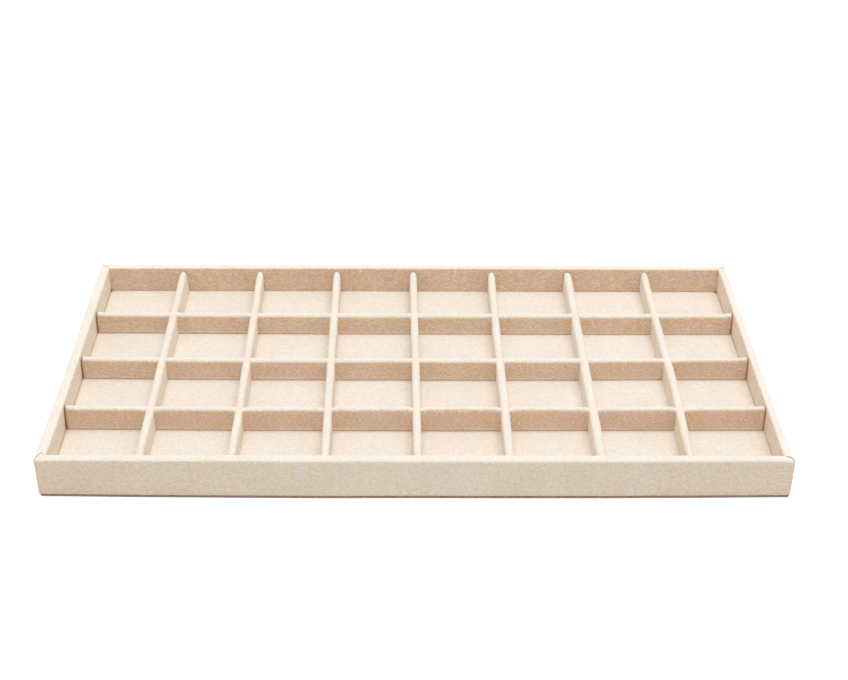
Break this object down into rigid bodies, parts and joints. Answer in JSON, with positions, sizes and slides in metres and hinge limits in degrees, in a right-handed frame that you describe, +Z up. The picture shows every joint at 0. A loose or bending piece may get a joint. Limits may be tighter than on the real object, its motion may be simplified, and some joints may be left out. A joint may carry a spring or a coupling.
{
  "type": "jewelry tray",
  "caption": "Low rectangular jewelry tray of boards covered in cream suede, with a lift-out grid of half-lapped dividers that makes even, open-topped compartments.",
  "frame": {"origin": "on the ground, under the middle of the tray", "axes": "+X along the tray's length to the right as seen from the front, +Y from the front wall to the back wall, +Z up"},
  "size_m": [0.375, 0.2094, 0.022],
  "materials": {
    "cream_suede": "matt brushed microfibre suede with a short mottled nap",
    "floor_suede": "the same suede, a little pinker, stretched over the floor card",
    "wood_fibre_board": "sanded fibreboard, hidden under the suede",
    "grey_card": "pressed grey card, hidden under the suede",
    "brown_felt": "thin pressed felt glued to the underside"
  },
  "bodies": {
    "tray": {"front_wall_board": "wood_fibre_board", "back_wall_board": "wood_fibre_board", "left_wall_board": "wood_fibre_board", "right_wall_board": "wood_fibre_board", "base_board": "wood_fibre_board", "front_wrap": "cream_suede", "back_wrap": "cream_suede", "left_wrap": "cream_suede", "right_wrap": "cream_suede", "floor_board": "grey_card", "floor_suede": "floor_suede", "bottom_felt": "brown_felt"},
    "divider_grid": {"long_divider_core_1": "grey_card", "long_divider_core_2": "grey_card", "long_divider_core_3": "grey_card", "cross_divider_core_1": "grey_card", "cross_divider_core_2": "grey_card", "cross_divider_core_3": "grey_card", "cross_divider_core_4": "grey_card", "cross_divider_core_5": "grey_card", "cross_divider_core_6": "grey_card", "cross_divider_core_7": "grey_card", "long_divider_wrap_1": "cream_suede", "long_divider_wrap_2": "cream_suede", "long_divider_wrap_3": "cream_suede", "cross_divider_wrap_1": "cream_suede", "cross_divider_wrap_2": "cream_suede", "cross_divider_wrap_3": "cream_suede", "cross_divider_wrap_4": "cream_suede", "cross_divider_wrap_5": "cream_suede", "cross_divider_wrap_6": "cream_suede", "cross_divider_wrap_7": "cream_suede"}
  },
  "joints": [
    {"name": "divider_grid_lift", "type": "slide", "parent": "tray", "child": "divider_grid", "axis": [0, 0, 1], "range_m": [0, 0.04]}
  ]
}
